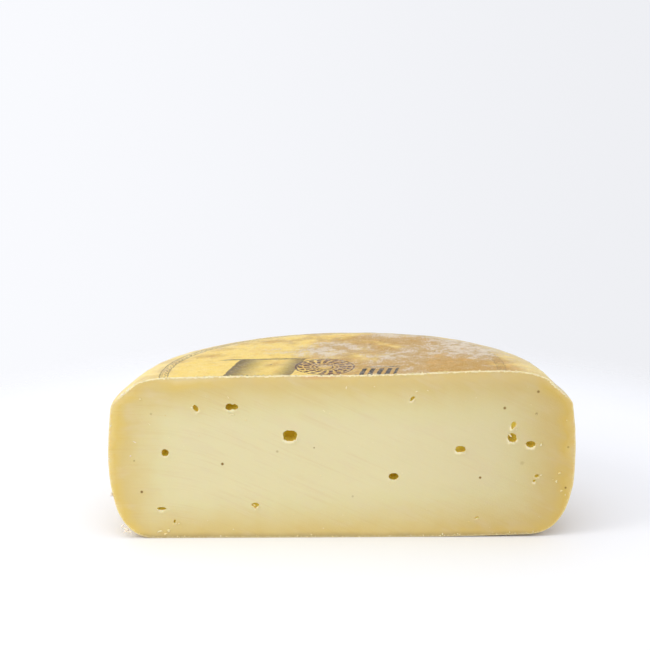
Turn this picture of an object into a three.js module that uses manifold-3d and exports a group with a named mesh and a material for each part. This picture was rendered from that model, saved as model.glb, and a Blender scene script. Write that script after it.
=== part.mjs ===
// Half of a farmhouse cheese wheel, in millimetres.
//
// The cheese is pressed in a round mould and turned as it ages, so it is a low drum: flat
// underneath, widest just below half its height, with a wide round at the foot and a
// slanting shoulder round the top. A straight cut down through its axis leaves this half.
//
// The half stands on its flat base. +Z is up, the cut face is a flat wall that looks
// along -Y, and the rind curves round behind it. The origin is under the middle of the
// half, at the height of the base. It is one piece of cheese, so it is one mesh.
//
// The wheel is a revolved profile, made a little uneven as a real cheese is. It is cut
// in half, and then the eyes, the small holes that gas leaves in the paste, are taken
// out of the face where the cut went through them.

import * as THREE from "three";
import { mergeVertices } from "three/addons/utils/BufferGeometryUtils.js";
import Module from "manifold-3d";

// The wheel and its side.
const WHEEL_DIAMETER = 254;
const WHEEL_HEIGHT = 93;
const WIDEST_HEIGHT = 45; // where the side is furthest out
const SIDE_LEAN = 2.4; // how far the side draws in on its way up to the knee

// The foot, between the base and the side.
const FOOT_ROUND = 25; // how far in from the side the base begins
const FOOT_FULLNESS = 17; // how far out the base's line is carried into the round
const FLAT_BASE_RADIUS = 45; // inside this the base is truly flat

// The shoulder, between the side and the top. It starts at the knee, slants in and up,
// and then eases over a crown into the flat of the top.
const KNEE_DROP = 16; // the knee's depth below the top
const KNEE_ROUND = 4;
const SLANT_RUN = 13; // how far in the slant goes
const SLANT_RISE = 11.5; // how far up the slant goes
const CROWN_RUN = 27; // how far in the crown goes

// What makes it uneven. Turn is a place's angle round the wheel from +X, in radians, and
// the higher its focus, the less far round the wheel it spreads.
const RIM_SWELL = { rise: 2.4, inset: 43, spread: 48, turn: 0.35, focus: 3 };
const RIM_SAG = { rise: -1.8, inset: 24, spread: 30, turn: 2.3, focus: 3 };
const WORN_FOOT = { rise: 1.7, inset: 3, spread: 50, turn: 0, focus: 8 };
const ROUNDNESS_ERROR = 0.5; // how far the outline wanders from a true circle

// How finely the curves are divided.
const TURN_STEPS = 96; // steps round the whole wheel
const FOOT_STEPS = 9;
const CURVE_STEPS = 4; // steps along each of the other curves
const TOP_RINGS = 5; // rings across the flat of the top

// An eye is an ellipsoid. Its middle lies behind the cut by this share of its depth, so
// that most of its wall shows.
const EYE_SINK = 0.35;
const EYE_SIDES = 12;
const EYE_RINGS = 8;

// Each eye has a place on the cut face: across from the middle, as a share of the wheel's
// radius, and up from the base, as a share of its height. Its sizes are in millimetres,
// and deep is half its size from front to back. A lobe is a smaller hollow that opens into
// the eye, and beside is how far its middle lies from the eye's, in millimetres.
const LOBE = { beside: 3.2, wide: 3.4, tall: 2.8, deep: 2.2 };
const EYES = [
  { across: -0.62, up: 0.804, wide: 3.0, tall: 3.4, deep: 2.4 },
  { across: -0.48, up: 0.811, wide: 3.8, tall: 3.6, deep: 3.6, lobe: LOBE },
  { across: -0.22, up: 0.636, wide: 7.2, tall: 5.6, deep: 5.0 },
  { across: -0.756, up: 0.534, wide: 3.7, tall: 3.7, deep: 3.2 },
  { across: 0.223, up: 0.381, wide: 5.4, tall: 3.8, deep: 4.2 },
  { across: 0.506, up: 0.548, wide: 5.2, tall: 3.4, deep: 2.8 },
  { across: 0.727, up: 0.62, wide: 4.5, tall: 4.2, deep: 3.0 },
  { across: 0.735, up: 0.694, wide: 2.8, tall: 3.4, deep: 2.2 },
  { across: 0.81, up: 0.581, wide: 4.8, tall: 3.2, deep: 3.0 },
  { across: 0.3, up: 0.857, wide: 3.4, tall: 2.2, deep: 1.8 },
  { across: -0.777, up: 0.187, wide: 5.2, tall: 1.9, deep: 2.0 },
  { across: -0.372, up: 0.207, wide: 3.4, tall: 2.8, deep: 2.0 },
  { across: 0.842, up: 0.381, wide: 2.6, tall: 1.8, deep: 1.6 },
];

const RADIUS = WHEEL_DIAMETER / 2;

const wasm = await Module();
wasm.setup();

// The wheel's outline from the middle of the base, out round the side, to the middle of
// the top.
function wheelProfile() {
  const at = (radius, height) => new THREE.Vector2(radius, height);
  const kneeRadius = RADIUS - SIDE_LEAN;
  const kneeHeight = WHEEL_HEIGHT - KNEE_DROP;
  const slope = SLANT_RISE / SLANT_RUN;
  const slantTop = at(kneeRadius - SLANT_RUN, kneeHeight + SLANT_RISE);
  const crownHandle = slantTop.x - (WHEEL_HEIGHT - slantTop.y) / slope;
  const flatTopRadius = slantTop.x - CROWN_RUN;

  const foot = new THREE.CubicBezierCurve(
    at(RADIUS - FOOT_ROUND, 0),
    at(RADIUS - FOOT_ROUND + FOOT_FULLNESS, 0),
    at(RADIUS, WIDEST_HEIGHT / 3),
    at(RADIUS, WIDEST_HEIGHT),
  );
  const side = new THREE.QuadraticBezierCurve(
    at(RADIUS, WIDEST_HEIGHT),
    at(RADIUS, (WIDEST_HEIGHT + kneeHeight) / 2),
    at(kneeRadius, kneeHeight - KNEE_ROUND / 2),
  );
  const knee = new THREE.QuadraticBezierCurve(
    at(kneeRadius, kneeHeight - KNEE_ROUND / 2),
    at(kneeRadius, kneeHeight),
    at(kneeRadius - KNEE_ROUND / 2, kneeHeight + (slope * KNEE_ROUND) / 2),
  );
  const crown = new THREE.QuadraticBezierCurve(
    slantTop,
    at(crownHandle, WHEEL_HEIGHT),
    at(flatTopRadius, WHEEL_HEIGHT),
  );

  const points = [at(0, 0), at(FLAT_BASE_RADIUS, 0)];
  points.push(...foot.getPoints(FOOT_STEPS));
  points.push(...side.getPoints(CURVE_STEPS).slice(1));
  points.push(...knee.getPoints(CURVE_STEPS).slice(1));
  points.push(...crown.getPoints(CURVE_STEPS));
  for (let ring = TOP_RINGS - 1; ring >= 0; ring--) {
    points.push(at((flatTopRadius * ring) / TOP_RINGS, WHEEL_HEIGHT));
  }
  return points;
}

// How much a swelling or a worn place lifts the surface at this radius and turn. Inset
// is its middle's distance in from the side.
function lift({ rise, inset, spread, turn, focus }, radius, pointTurn) {
  const off = (radius - (RADIUS - inset)) / spread;
  const facing = (1 + Math.cos(pointTurn - turn)) / 2;
  return rise * Math.exp(-off * off) * facing ** focus;
}

// Moves a point of the true wheel to where it lies on the uneven one.
function unevenly(point) {
  const radius = Math.hypot(point.x, point.y);
  const turn = Math.atan2(point.y, point.x);
  const up = Math.min(1, point.z / WHEEL_HEIGHT);
  if (radius <= FLAT_BASE_RADIUS && up === 0) return point;

  const wander = Math.cos(2 * turn + 0.6) + 0.6 * Math.cos(3 * turn - 1.1);
  const outward = 1 + (ROUNDNESS_ERROR * up * wander) / RADIUS;
  const top = lift(RIM_SWELL, radius, turn) + lift(RIM_SAG, radius, turn);
  const foot = lift(WORN_FOOT, radius, turn);
  const upward = top * up ** 8 + foot * (1 - up) ** 2;
  return new THREE.Vector3(point.x * outward, point.y * outward, point.z + upward);
}

// A closed geometry as a solid. Only its positions count.
function solidOf(geometry) {
  geometry.deleteAttribute("normal");
  geometry.deleteAttribute("uv");
  const merged = mergeVertices(geometry);
  return new wasm.Manifold(
    new wasm.Mesh({
      numProp: 3,
      vertProperties: merged.attributes.position.array,
      triVerts: new Uint32Array(merged.index.array),
    }),
  );
}

function geometryOf(solid) {
  const mesh = solid.getMesh();
  const geometry = new THREE.BufferGeometry();
  geometry.setAttribute("position", new THREE.BufferAttribute(mesh.vertProperties, 3));
  geometry.setIndex(new THREE.BufferAttribute(mesh.triVerts, 1));
  geometry.computeVertexNormals();
  return geometry;
}

function wholeWheel() {
  const geometry = new THREE.LatheGeometry(wheelProfile(), TURN_STEPS);
  geometry.rotateX(Math.PI / 2);
  const positions = geometry.attributes.position;
  for (let i = 0; i < positions.count; i++) {
    const point = new THREE.Vector3().fromBufferAttribute(positions, i);
    const moved = unevenly(point);
    positions.setXYZ(i, moved.x, moved.y, moved.z);
  }
  return solidOf(geometry);
}

// The side of the cut that is kept: all that lies behind the plane through the axis.
function keptSide() {
  const size = 2 * Math.max(WHEEL_DIAMETER, WHEEL_HEIGHT);
  const geometry = new THREE.BoxGeometry(size, size, size);
  geometry.translate(0, size / 2, 0);
  return solidOf(geometry);
}

function hollow({ wide, tall, deep }, x, z) {
  const geometry = new THREE.SphereGeometry(1, EYE_SIDES, EYE_RINGS);
  geometry.rotateX(Math.PI / 2);
  geometry.scale(wide / 2, deep, tall / 2);
  geometry.translate(x, deep * EYE_SINK, z);
  return solidOf(geometry);
}

function eyeHole(eye) {
  const x = eye.across * RADIUS;
  const z = eye.up * WHEEL_HEIGHT;
  const hole = hollow(eye, x, z);
  return eye.lobe ? hole.add(hollow(eye.lobe, x + eye.lobe.beside, z)) : hole;
}

function halfWheel() {
  const half = wholeWheel().intersect(keptSide());
  return EYES.reduce((cheese, eye) => cheese.subtract(eyeHole(eye)), half);
}

const cheese = new THREE.Mesh(
  geometryOf(halfWheel()),
  new THREE.MeshStandardMaterial({ color: 0xe2cd8c, roughness: 0.55, metalness: 0 }),
);
cheese.name = "cheese_half_wheel";

// The origin goes under the middle of the half, at the height of its base.
cheese.geometry.computeBoundingBox();
const box = cheese.geometry.boundingBox;
cheese.position.set(-(box.min.x + box.max.x) / 2, -(box.min.y + box.max.y) / 2, -box.min.z);

const halfCheese = new THREE.Group();
halfCheese.add(cheese);

export default halfCheese;
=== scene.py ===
"""Half of a farmhouse cheese wheel on a pale studio floor.

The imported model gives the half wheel's place and size. This file gives its looks: a fine
closed mesh of the cheese, the crumbs that the knife left on it, and the materials of the
paste, the eye walls and the rind.

The shape is worked out in millimetres in the wheel's own frame: x runs across the cut, y
is the distance behind the cut, and z is the height above the base. Radius and turn are
measured round the wheel's axis, and turn is 0 on +X and half a circle on -X.
"""

import math
from functools import partial, reduce

import bmesh
import bpy
import numpy as np
from mathutils import Matrix, Vector, noise
from mathutils.geometry import delaunay_2d_cdt


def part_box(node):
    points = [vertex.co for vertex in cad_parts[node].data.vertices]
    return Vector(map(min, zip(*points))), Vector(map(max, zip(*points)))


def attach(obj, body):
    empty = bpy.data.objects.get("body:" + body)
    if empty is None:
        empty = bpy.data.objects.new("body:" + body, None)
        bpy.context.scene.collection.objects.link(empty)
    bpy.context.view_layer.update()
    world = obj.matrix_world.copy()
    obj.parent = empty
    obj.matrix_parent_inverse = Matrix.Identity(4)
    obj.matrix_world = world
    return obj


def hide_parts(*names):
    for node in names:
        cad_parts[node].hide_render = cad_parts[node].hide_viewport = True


bl_info = {
    "name": "Half Cheese Wheel",
    "version": (1, 0, 0),
    "blender": (4, 5, 0),
    "location": "3D View > Sidebar > Cheese",
    "description": "Builds half of a farmhouse cheese wheel, its crumbs and its stage",
    "category": "Add Mesh",
}

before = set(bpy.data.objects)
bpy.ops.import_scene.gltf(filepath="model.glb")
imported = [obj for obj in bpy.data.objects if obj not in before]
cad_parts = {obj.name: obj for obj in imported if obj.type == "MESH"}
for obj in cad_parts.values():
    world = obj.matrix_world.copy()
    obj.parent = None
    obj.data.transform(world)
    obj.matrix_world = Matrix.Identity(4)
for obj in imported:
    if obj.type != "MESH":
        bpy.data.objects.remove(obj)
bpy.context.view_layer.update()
NODE = "cheese_half_wheel"
BODY = "root"

MM = 0.001
NODE_LOW, NODE_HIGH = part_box(NODE)
# Where the wheel's axis meets the cut and the base.
ORIGIN = Vector(((NODE_LOW.x + NODE_HIGH.x) / 2, NODE_LOW.y, NODE_LOW.z))


def linear(code):
    """An sRGB hex colour as linear red, green and blue."""
    parts = [int(code[i : i + 2], 16) / 255 for i in (1, 3, 5)]
    return tuple(c / 12.92 if c <= 0.04045 else ((c + 0.055) / 1.055) ** 2.4 for c in parts)


# ---------------------------------------------------------------------------
# The wheel's outline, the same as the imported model's
# ---------------------------------------------------------------------------

WIDEST_HEIGHT = 45.0
SIDE_LEAN = 2.4
FOOT_ROUND = 25.0
FOOT_FULLNESS = 17.0
KNEE_DROP = 16.0
KNEE_ROUND = 4.0
SLANT_RUN = 13.0
SLANT_RISE = 11.5
CROWN_RUN = 27.0

# Swellings and worn places: how far each rises, its middle's distance in from the side,
# how far it spreads, which way round the wheel it lies, and its focus: the higher it is,
# the less far round the wheel it spreads.
RIM_SWELL = {"rise": 2.4, "inset": 43.0, "spread": 48.0, "turn": 0.35, "focus": 3}
RIM_SAG = {"rise": -1.8, "inset": 24.0, "spread": 30.0, "turn": 2.3, "focus": 3}
WORN_FOOT = {"rise": 1.7, "inset": 3.0, "spread": 50.0, "turn": 0.0, "focus": 8}
ROUNDNESS_ERROR = 0.5
RIM_ABOVE_TOP = 2.36  # how far the swollen rim stands above the flat of the top
CENTRE = 20.0  # inside this radius a swelling no longer depends on the turn

# The rind's ripples: the length of the long and the short ones, how much the short ones
# count, and how far above the base they have their full height.
LONG_RIPPLE = 26.0
SHORT_RIPPLE = 7.0
SHORT_SHARE = 0.45
RIPPLE_ABOVE = 6.0

# Mesh spacings, in millimetres, and counts.
RIND_STEP = 1.25
CAP_STEP = 2.4
CUT_STEP = 1.25
CURVE_POINTS = 160
TURN_STEPS = 250
EYE_STEP = 0.24
EYE_RINGS = 10
COLLARS = (0.25, 0.6, 1.05)  # how far rings of points lie outside an eye's rim
BORDERS = (0.5, 1.0, 1.8)  # how many burr widths such lines lie inside the cut's edge

# The wall of an eye: how far it bulges behind its rim, and how lumpy it is.
EYE_BELLY = 0.22
EYE_LUMPS = 0.06

# The knife drags a burr up along the edge of the cut: its width, and how far it stands
# proud of the cut.
BURR_WIDTH = 0.65
BURR_HEIGHT = 0.38

# The cut isn't quite flat: the height and length of its waves.
CUT_WAVE = 0.16
CUT_WAVE_LENGTH = 38.0

# How the paste has dried, as a depth behind the rind. Upwards a depth counts for more,
# and on the older side for less. Near the base and the top less has dried, by so much
# and fading over so far. The driest spot is at this x and z.
UP_COUNTS = 1.4
OLDER_SIDE = 0.2
FRESH_BASE = (6.0, 9.0)
FRESH_TOP = (2.5, 7.0)
DRIEST_SPOT = (-85.0, 78.0)
DRIEST_SPREAD = 20.0
DRIEST = 4.0

# The eyes that the cut went through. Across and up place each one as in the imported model.
# Wide, tall and deep are in millimetres and tilt is in degrees. Square 2 is an ellipse
# and more is boxier. Ragged is how torn its rim is. Lean moves its deepest point across.
# Waist pinches it, as where two eyes have grown together. Point is how much of a corner
# it has, and lip is how far the knife pushed up its rim.
EYES = [
    dict(across=-0.62, up=0.804, wide=2.5, tall=4.0, deep=2.0, tilt=32, ragged=0.12, lip=0.45),
    dict(across=-0.467, up=0.811, wide=7.0, tall=3.7, deep=3.8, lean=-1.6, waist=0.3,
         square=2.4, ragged=0.14, lip=0.5),
    dict(across=-0.22, up=0.636, wide=7.2, tall=5.7, deep=4.6, square=3.2, ragged=0.13,
         lip=0.9),
    dict(across=-0.756, up=0.534, wide=3.8, tall=3.9, deep=3.4, square=2.3, ragged=0.10,
         lip=0.35),
    dict(across=0.223, up=0.381, wide=5.4, tall=3.8, deep=4.4, ragged=0.05, lip=0.3),
    dict(across=0.508, up=0.548, wide=5.5, tall=3.5, deep=2.4, lean=1.2, square=2.3,
         ragged=0.10, lip=0.6),
    dict(across=0.728, up=0.617, wide=5.0, tall=4.9, deep=2.8, lean=-0.5, ragged=0.14,
         tilt=-20, lip=0.6),
    dict(across=0.733, up=0.694, wide=2.7, tall=4.1, deep=1.0, tilt=-22, point=0.2,
         ragged=0.14, lip=0.5),
    dict(across=0.808, up=0.577, wide=5.0, tall=3.5, deep=3.0, lean=-0.6, point=0.2,
         square=2.4, ragged=0.12, lip=0.55),
    dict(across=0.3, up=0.857, wide=3.5, tall=1.6, deep=1.2, tilt=40, ragged=0.16, lip=0.5),
    dict(across=-0.778, up=0.187, wide=4.9, tall=1.7, deep=2.0, ragged=0.16, lip=0.5),
    dict(across=-0.724, up=0.106, wide=1.2, tall=2.1, deep=1.2, tilt=-14, ragged=0.10,
         lip=0.3),
    dict(across=-0.373, up=0.207, wide=4.1, tall=2.6, deep=1.2, point=0.45, ragged=0.14,
         lip=0.5),
    dict(across=0.839, up=0.38, wide=2.5, tall=1.7, deep=1.3, tilt=14, ragged=0.12, lip=0.35),
    dict(across=0.828, up=0.349, wide=1.9, tall=1.4, deep=0.9, tilt=40, ragged=0.14, lip=0.35),
    dict(across=0.584, up=0.122, wide=2.4, tall=1.0, deep=0.7, tilt=20, ragged=0.2, lip=0.3),
]


def resample(line, step):
    """The polyline again, with its points evenly spaced and about step apart."""
    gaps = np.linalg.norm(np.diff(line, axis=0), axis=1)
    along = np.concatenate([[0], np.cumsum(gaps)])
    places = np.linspace(0, along[-1], max(2, round(along[-1] / step)) + 1)
    return np.stack([np.interp(places, along, line[:, i]) for i in range(line.shape[1])], 1)


def bezier(*handles):
    """Points along the Bezier curve with these handles."""
    share = np.linspace(0, 1, CURVE_POINTS)[:, None]
    lines = [np.repeat([handle], len(share), axis=0).astype(float) for handle in handles]
    while len(lines) > 1:
        lines = [a * (1 - share) + b * share for a, b in zip(lines, lines[1:])]
    return lines[0]


def rind_profile(radius, height):
    """Radius and height along the outline, from the edge of the base to the flat top."""
    knee_radius = radius - SIDE_LEAN
    knee_height = height - KNEE_DROP
    slope = SLANT_RISE / SLANT_RUN
    slant_top = (knee_radius - SLANT_RUN, knee_height + SLANT_RISE)
    crown_handle = slant_top[0] - (height - slant_top[1]) / slope
    base_radius = radius - FOOT_ROUND
    foot = bezier((base_radius, 0), (base_radius + FOOT_FULLNESS, 0),
                  (radius, WIDEST_HEIGHT / 3), (radius, WIDEST_HEIGHT))
    side = bezier((radius, WIDEST_HEIGHT), (radius, (WIDEST_HEIGHT + knee_height) / 2),
                  (knee_radius, knee_height - KNEE_ROUND / 2))
    knee = bezier((knee_radius, knee_height - KNEE_ROUND / 2), (knee_radius, knee_height),
                  (knee_radius - KNEE_ROUND / 2, knee_height + slope * KNEE_ROUND / 2))
    crown = bezier(slant_top, (crown_handle, height), (slant_top[0] - CROWN_RUN, height))
    return resample(np.concatenate([foot, side[1:], knee[1:], crown]), RIND_STEP)


def fractal(points, size, octaves=3, offset=0.0):
    """Smooth noise from about -1 to 1, with features of this size in millimetres."""
    shift = Vector((offset, offset * 0.37, -offset))
    return np.array(
        [noise.fractal(Vector(p) / size + shift, 0.9, 2.0, octaves) for p in points]
    )


class Wheel:
    """The uneven wheel's surface."""

    def __init__(self, shape):
        self.radius = shape.width / 2 / MM
        self.height = shape.height / MM
        self.ripple = shape.ripple / MM
        self.profile = rind_profile(self.radius, self.height)

    def lift(self, place, radius, turn):
        off = (radius - (self.radius - place["inset"])) / place["spread"]
        facing = np.cos(turn - place["turn"]) * np.minimum(1, radius / CENTRE)
        return place["rise"] * np.exp(-off * off) * ((1 + facing) / 2) ** place["focus"]

    def surface(self, radius, turn, height, out, up):
        """Where points of the true wheel lie on the uneven one. Out and up are the
        outward direction there. The base has no ripple, so that it stands flat."""
        true = np.stack([radius * np.cos(turn), radius * np.sin(turn), height], 1)
        rough = fractal(true, LONG_RIPPLE, 3, 4.0)
        rough = rough + SHORT_SHARE * fractal(true, SHORT_RIPPLE, 2, 9.0)
        rough = self.ripple * rough * np.clip(height / RIPPLE_ABOVE, 0, 1)
        share = height / self.height
        wander = np.cos(2 * turn + 0.6) + 0.6 * np.cos(3 * turn - 1.1)
        wander = ROUNDNESS_ERROR * share * wander * np.minimum(1, radius / CENTRE)
        top = self.lift(RIM_SWELL, radius, turn) + self.lift(RIM_SAG, radius, turn)
        foot = self.lift(WORN_FOOT, radius, turn)
        across = radius * (1 + wander / self.radius) + rough * out
        upward = height + rough * up + top * share**8 + foot * (1 - share) ** 2
        behind = np.where(np.abs(np.sin(turn)) < 1e-9, 0, across * np.sin(turn))
        return np.stack([across * np.cos(turn), behind, upward], 1)

    def flat(self, x, y, height, up):
        """Points of the top or the base, by their place in plan."""
        radius = np.hypot(x, y)
        turn = np.where(y > 0, np.arctan2(y, x), np.where(x < 0, math.pi, 0.0))
        level = np.full(len(radius), float(height))
        return self.surface(radius, turn, level, np.zeros(len(radius)), up)


# ---------------------------------------------------------------------------
# Patches of mesh
# ---------------------------------------------------------------------------

# The UV map holds each patch flat, without overlap: its corner and its scale per
# millimetre. The cut, which shows the finest detail, gets the most room.
CUT_MAP = (0.5, 0.004, 1 / 257)
SIDE_MAP = (0.004, 0.388, 0.992, 0.318)
TOP_MAP = (0.266, 0.718, 0.00305)
BASE_MAP = (0.762, 0.718, 0.0022)

PASTE, EYE_WALL, RIND = 0, 1, 2


def laid(places, sheet):
    """Where these flat places lie on the UV map."""
    u0, v0, scale = sheet
    return np.array([u0, v0]) + places * scale


class Patches:
    """Collects patches of mesh that meet edge to edge, and welds them into one."""

    def __init__(self):
        self.points, self.faces, self.maps, self.kinds = [], [], [], []
        self.fields = {"rind_depth": [], "drying": [], "eye": [], "lip": []}

    def add(self, points, faces, flat, kind, **fields):
        """Points in millimetres, faces that look outward, and a flat place for each
        point. Fields are numbers for each point."""
        first = len(self.points)
        self.points.extend(points.tolist())
        self.faces.extend([tuple(int(i) + first for i in face) for face in faces])
        self.maps.extend(flat.tolist())
        self.kinds.extend([kind] * len(faces))
        for name, values in self.fields.items():
            given = fields.get(name, 0.0)
            values.extend(np.broadcast_to(given, len(points)).tolist())

    def mesh(self, name):
        mesh = bpy.data.meshes.new(name)
        placed = [ORIGIN + Vector(p) * MM for p in self.points]
        mesh.from_pydata(placed, [], self.faces)
        flat = mesh.uv_layers.new(name="OFBake")
        for loop in mesh.loops:
            flat.uv[loop.index].vector = self.maps[loop.vertex_index]
        for field, values in self.fields.items():
            mesh.attributes.new(field, "FLOAT", "POINT").data.foreach_set("value", values)
        mesh.polygons.foreach_set("material_index", self.kinds)
        mesh.polygons.foreach_set("use_smooth", [True] * len(mesh.polygons))
        weld(mesh)
        return mesh


def weld(mesh):
    """Joins the patches where they meet, and keeps the edge of the cut crisp."""
    work = bmesh.new()
    work.from_mesh(mesh)
    bmesh.ops.remove_doubles(work, verts=work.verts, dist=0.004 * MM)
    for edge in work.edges:
        kinds = {face.material_index == RIND for face in edge.link_faces}
        if len(kinds) == 2:
            edge.smooth = False
    open_edges = sum(1 for edge in work.edges if len(edge.link_faces) != 2)
    if open_edges:
        raise RuntimeError(f"the cheese isn't closed: {open_edges} edges have no partner")
    work.to_mesh(mesh)
    work.free()


def fill(loop, inner, holes=()):
    """Triangles between an outer loop and its holes, through the inner points, all in
    plan. The points are the loop, then the holes, then the inner ones."""
    points = np.concatenate([loop, *holes, inner])
    edges, first = [], 0
    for ring in (loop, *holes):
        count = len(ring)
        edges += [(first + i, first + (i + 1) % count) for i in range(count)]
        first += count
    made = delaunay_2d_cdt([Vector(p) for p in points], edges, [], 0, 1e-7, True)
    if len(made[0]) != len(points):
        raise RuntimeError("two points of a patch fell together")
    old = [ids[0] for ids in made[3]]
    faces = np.array([[old[i] for i in face] for face in made[2]])
    middle = points[faces].mean(axis=1)
    keep = inside(middle, loop)
    for hole in holes:
        keep &= ~inside(middle, hole)
    return points, faces[keep]


def facing(points, faces, positive):
    """The triangles, turned so that in plan they run anticlockwise, or clockwise."""
    a, b, c = (points[faces[:, i]] for i in range(3))
    area = (b[:, 0] - a[:, 0]) * (c[:, 1] - a[:, 1]) - (b[:, 1] - a[:, 1]) * (c[:, 0] - a[:, 0])
    wrong = (area > 0) != positive
    turned = faces.copy()
    turned[wrong] = turned[wrong][:, ::-1]
    return turned[np.abs(area) > 1e-9]


def honeycomb(low, high, step, seed):
    """Evenly scattered points in a rectangle."""
    rows = np.arange(low[1], high[1], step * math.sqrt(3) / 2)
    columns = np.arange(low[0], high[0], step)
    x, y = np.meshgrid(columns, rows)
    x = x + (np.arange(len(rows)) % 2)[:, None] * step / 2
    chance = np.random.default_rng(seed)
    spots = np.stack([x.ravel(), y.ravel()], 1)
    return spots + chance.uniform(-0.12, 0.12, spots.shape) * step


def add_side(patches, wheel):
    """The foot, side, knee, shoulder and crown, as a grid. Gives its points back."""
    turns = np.linspace(0, math.pi, TURN_STEPS + 1)
    line = np.gradient(wheel.profile, axis=0)
    line /= np.linalg.norm(line, axis=1)[:, None]
    rows = len(wheel.profile)
    turn = np.repeat(turns, rows)
    radius, height = np.tile(wheel.profile, (len(turns), 1)).T
    out = np.tile(line[:, 1], len(turns))
    up = np.tile(-line[:, 0], len(turns))
    points = wheel.surface(radius, turn, height, out, up)
    u0, v0, u_size, v_size = SIDE_MAP
    share = np.tile(np.linspace(0, 1, rows), len(turns))
    flat = np.stack([u0 + u_size * turn / math.pi, v0 + v_size * share], 1)
    faces = []
    for column in range(TURN_STEPS):
        for row in range(rows - 1):
            a = column * rows + row
            faces.append((a, a + rows, a + rows + 1, a + 1))
    patches.add(points, faces, flat, RIND)
    return points.reshape(len(turns), rows, 3)


def add_cap(patches, wheel, ring, height, up, sheet):
    """The flat top or the base, inside a ring of the side. Gives its straight edge."""
    reach = wheel.profile[-1 if up > 0 else 0][0]
    count = round(2 * reach / RIND_STEP)
    x = np.linspace(-reach, reach, count + 1)[1:-1]
    edge = wheel.flat(x, np.zeros(len(x)), height, up)
    spots = honeycomb((-reach, 0), (reach, reach), CAP_STEP, 3)
    clear = (np.hypot(*spots.T) < reach - 0.6 * CAP_STEP) & (spots[:, 1] > 0.6 * CAP_STEP)
    spots = spots[clear]
    inner = wheel.flat(spots[:, 0], spots[:, 1], height, up)
    loop = np.concatenate([ring, edge])
    points = np.concatenate([loop, inner])
    _, faces = fill(loop[:, :2], inner[:, :2])
    faces = facing(points[:, :2], faces, up > 0)
    patches.add(points, faces, laid(points[:, :2], sheet), RIND)
    return edge


class Eye:
    """One eye: a hollow that opens on the cut."""

    def __init__(self, wheel, seed, across, up, wide, tall, deep, tilt=0, square=2.0,
                 ragged=0.1, lean=0.0, waist=0.0, point=0.0, lip=0.3):
        self.centre = np.array([across * wheel.radius, up * wheel.height])
        self.deep, self.lean, self.lip, self.seed = deep, lean, lip, seed
        count = max(20, round(math.pi * (wide + tall) / 2 / EYE_STEP))
        angle = np.arange(count) / count * 2 * math.pi
        cos, sin = np.cos(angle), np.sin(angle)
        x = wide / 2 * np.sign(cos) * np.abs(cos) ** (2 / square)
        z = tall / 2 * np.sign(sin) * np.abs(sin) ** (2 / square)
        z *= 1 - waist * np.exp(-((x - 0.08 * wide) / (0.12 * wide)) ** 2)
        z *= 1 + point * np.where(sin < 0, 1.5 * np.exp(-((x / (0.2 * wide)) ** 2)) - 0.6, 0)
        turn = math.radians(tilt)
        x, z = x * math.cos(turn) - z * math.sin(turn), x * math.sin(turn) + z * math.cos(turn)
        circle = np.stack([cos * 1.6, sin * 1.6, np.full(count, seed * 3.7)], 1)
        tear = 1 + ragged * (fractal(circle, 0.55, 3) + 0.35 * fractal(circle, 0.2, 2, 3.0))
        self.angle = np.arctan2(z, x)
        self.reach = np.hypot(x, z) * tear
        order = np.argsort(self.angle)
        self.angle, self.reach = self.angle[order], self.reach[order]

    def ring(self, apart=0.0):
        reach = self.reach + apart
        spots = np.stack([np.cos(self.angle), np.sin(self.angle)], 1)
        return self.centre + reach[:, None] * spots

    def distance(self, spots):
        """How far outside the eye's rim each spot is, and which way it lies from it."""
        away = spots - self.centre
        angle = np.arctan2(away[:, 1], away[:, 0])
        rim = np.interp(angle, self.angle, self.reach, period=2 * math.pi)
        return np.hypot(*away.T) - rim, np.sin(angle)

    def raised(self, spots):
        """How much of its lip lies at each spot. The knife came down across the eyes, so
        the lower side is pushed up most."""
        apart, upward = self.distance(spots)
        below = 0.15 + 0.85 * np.clip(0.2 - upward, 0, 1)
        raised = np.exp(-((apart / (0.3 + 1.0 * below)) ** 2)) * below
        return np.where(apart > -1e-6, raised, 0)

    def add_hollow(self, patches, drying):
        """The wall of the hollow, from its rim to its deepest point."""
        rim = self.ring()
        count = len(rim)
        rings, flats, shares = [], [], []
        for step in range(EYE_RINGS):
            share = step / EYE_RINGS
            belly = 1 + EYE_BELLY * math.sin(math.pi * min(1, 1.6 * share))
            lumps = fractal(
                np.stack([np.cos(self.angle), np.sin(self.angle), np.full(count, share)], 1),
                0.7, 2, self.seed,
            )
            wide = math.sqrt(1 - share**2) * belly * (1 + EYE_LUMPS * lumps * min(1, 3 * share))
            middle = self.centre + np.array([self.lean * share, 0])
            spots = middle + (rim - self.centre) * np.reshape(wide, (-1, 1))
            behind = np.full(count, self.deep * math.sin(share * math.pi / 2))
            if step == 0:
                spots, behind = rim, self.rim_height(rim)
            rings.append(np.stack([spots[:, 0], behind, spots[:, 1]], 1))
            flats.append(self.centre + (rim - self.centre) * (1 - share))
            shares.append(np.full(count, share))
        end = self.centre + np.array([self.lean, 0])
        points = np.concatenate([*rings, [[end[0], self.deep, end[1]]]])
        flat = laid(np.concatenate([*flats, [self.centre]]), CUT_MAP)
        faces = []
        for step in range(EYE_RINGS - 1):
            for i in range(count):
                a, b = step * count + i, step * count + (i + 1) % count
                faces.append((a, b, b + count, a + count))
        last = (EYE_RINGS - 1) * count
        faces += [(last + i, last + (i + 1) % count, len(points) - 1) for i in range(count)]
        # Painted shade: the deeper an eye, the darker its wall.
        share = np.concatenate([*shares, [1.0]]) * min(1, self.deep / 4)
        patches.add(points, faces, flat, EYE_WALL, eye=share, drying=drying, rind_depth=30.0)

    def rim_height(self, rim):
        return -self.lip * self.raised(rim) * lip_wobble(rim)


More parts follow.
